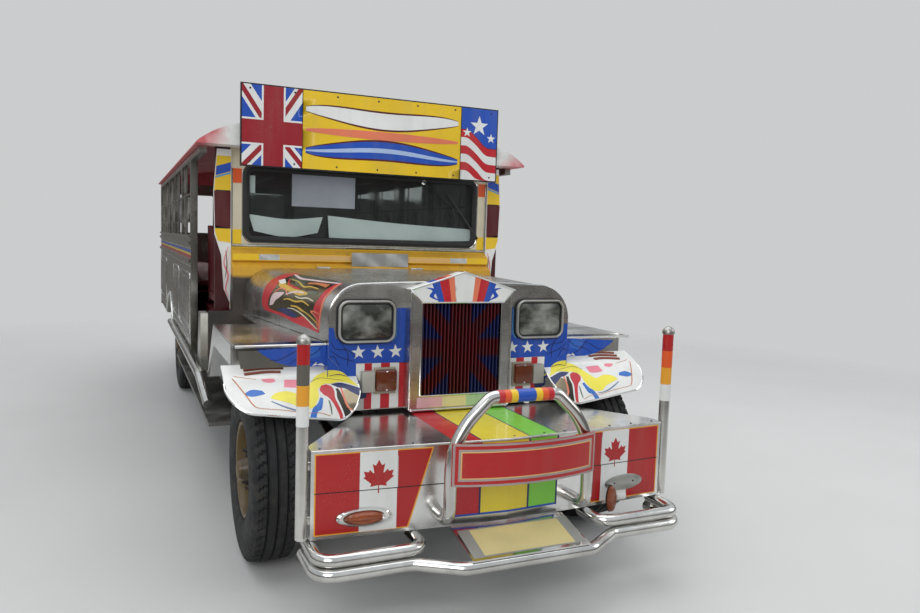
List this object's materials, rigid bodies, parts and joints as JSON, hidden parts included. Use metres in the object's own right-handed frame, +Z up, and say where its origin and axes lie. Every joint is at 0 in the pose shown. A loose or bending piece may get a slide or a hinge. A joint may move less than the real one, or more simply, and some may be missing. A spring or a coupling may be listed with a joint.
{
  "type": "jeepney",
  "caption": "Long open-sided passenger jeepney with a stainless nose, painted valance bumper, roof sign, bench seats, steered front wheels and a hinged hood.",
  "frame": {"origin": "on the floor, at the middle of the outer box in plan", "axes": "+Z up, +Y towards the tail along the vehicle's length, +X towards the vehicle's left side"},
  "size_m": [2.0366, 6.5, 2.219],
  "materials": {
    "stainless": "brushed, worn",
    "bright_tube": "polished tube, scuffed",
    "body_steel": "brushed stainless sheet, dusty",
    "nose_blue": "gloss enamel",
    "flare_white": "gloss enamel over bright sheet",
    "cowl_yellow": "gloss enamel",
    "frame_cream": "gloss enamel, yellowed",
    "wing_paint": "gloss enamel bands",
    "bumper_red": "gloss enamel",
    "sign_yellow": "painted board",
    "roof_paint": "faded enamel",
    "cab_maroon": "worn enamel",
    "slat_dark": "enamel",
    "chassis_black": "matt, road dirt",
    "axle_iron": "oily",
    "exhaust_steel": "rusty",
    "rim_gold": "ochre enamel",
    "tyre": "worn",
    "window_glass": "tinted",
    "lamp_glass": "bright bezel with clear lens",
    "amber_lens": "gloss",
    "red_lens": "gloss",
    "vinyl": "vinyl cloth",
    "floor_plate": "tread plate, worn",
    "dash_black": "matt",
    "wheel_black": "worn"
  },
  "bodies": {
    "root": {"frame_rails": "chassis_black", "crossmembers": "chassis_black", "front_axle_beam": "axle_iron", "rear_axle": "axle_iron", "engine_block": "axle_iron", "propeller_shaft": "axle_iron", "leaf_springs": "chassis_black", "fuel_tank": "chassis_black", "exhaust_pipe": "exhaust_steel", "floor_pan": "floor_plate", "cowl": "cowl_yellow", "windscreen_frame": "frame_cream", "windscreen_glass": "window_glass", "pillar_wings": "wing_paint", "roof": "roof_paint", "sign_board": "sign_yellow", "side_panels": "body_steel", "window_grilles": "bright_tube", "rear_panel": "body_steel", "rear_step": "chassis_black", "tail_lamps": "red_lens", "fascia": "nose_blue", "radiator_shell": "stainless", "grille_slats": "slat_dark", "headlamps": "lamp_glass", "signal_lamps": "amber_lens", "front_fenders": "stainless", "fender_flares": "flare_white", "bumper_box": "bumper_red", "bumper_tubes": "bright_tube", "guard_hoop": "bright_tube", "name_board": "bumper_red", "plate_bracket": "stainless", "marker_posts": "bright_tube", "bumper_lamps": "amber_lens", "running_boards": "floor_plate", "sill_tubes": "bright_tube", "seat_boxes": "cab_maroon", "seat_cushions": "vinyl", "dashboard": "dash_black", "steering_column": "dash_black", "grab_rails": "bright_tube"},
    "hood": {"hood": "stainless"},
    "knuckle_left": {"knuckle_left": "axle_iron"},
    "knuckle_right": {"knuckle_right": "axle_iron"},
    "tie_rod": {"tie_rod": "axle_iron"},
    "steering_wheel": {"steering_wheel": "wheel_black"},
    "wheel_front_left": {"tyre_front_left": "tyre", "rim_front_left": "rim_gold"},
    "wheel_front_right": {"tyre_front_right": "tyre", "rim_front_right": "rim_gold"},
    "wheel_rear_left": {"tyre_rear_left": "tyre", "rim_rear_left": "rim_gold"},
    "wheel_rear_right": {"tyre_rear_right": "tyre", "rim_rear_right": "rim_gold"}
  },
  "joints": [
    {"name": "steer_left", "type": "hinge", "parent": "root", "child": "knuckle_left", "pos_m": [0.64, -2.25, 0.39], "axis": [0, 0, 1], "range_deg": [-28, 28]},
    {"name": "steer_right", "type": "hinge", "parent": "root", "child": "knuckle_right", "pos_m": [-0.64, -2.25, 0.39], "axis": [0, 0, 1], "range_deg": [-28, 28]},
    {"name": "tie_rod_pivot", "type": "hinge", "parent": "knuckle_left", "child": "tie_rod", "pos_m": [0.64, -2.08, 0.32], "axis": [0, 0, 1], "range_deg": [-28, 28]},
    {"name": "steering_wheel_turn", "type": "hinge", "parent": "root", "child": "steering_wheel", "pos_m": [0.415, -0.83, 1.262], "axis": [0, 0.7741, 0.6331], "range_deg": [-448, 448]},
    {"name": "spin_front_left", "type": "hinge", "parent": "knuckle_left", "child": "wheel_front_left", "pos_m": [0.809, -2.25, 0.39], "axis": [1, 0, 0], "continuous": true},
    {"name": "spin_front_right", "type": "hinge", "parent": "knuckle_right", "child": "wheel_front_right", "pos_m": [-0.809, -2.25, 0.39], "axis": [1, 0, 0], "continuous": true},
    {"name": "spin_rear_left", "type": "hinge", "parent": "root", "child": "wheel_rear_left", "pos_m": [0.809, 1.6, 0.39], "axis": [1, 0, 0], "continuous": true},
    {"name": "spin_rear_right", "type": "hinge", "parent": "root", "child": "wheel_rear_right", "pos_m": [-0.809, 1.6, 0.39], "axis": [1, 0, 0], "continuous": true},
    {"name": "hood_hinge", "type": "hinge", "parent": "root", "child": "hood", "pos_m": [0, -1.197, 1.222], "axis": [-1, 0, 0], "range_deg": [0, 55]}
  ],
  "couplings": [
    {"joint": "steer_right", "follows": "steer_left", "ratio": 1},
    {"joint": "tie_rod_pivot", "follows": "steer_left", "ratio": -1},
    {"joint": "steering_wheel_turn", "follows": "steer_left", "ratio": 16}
  ]
}
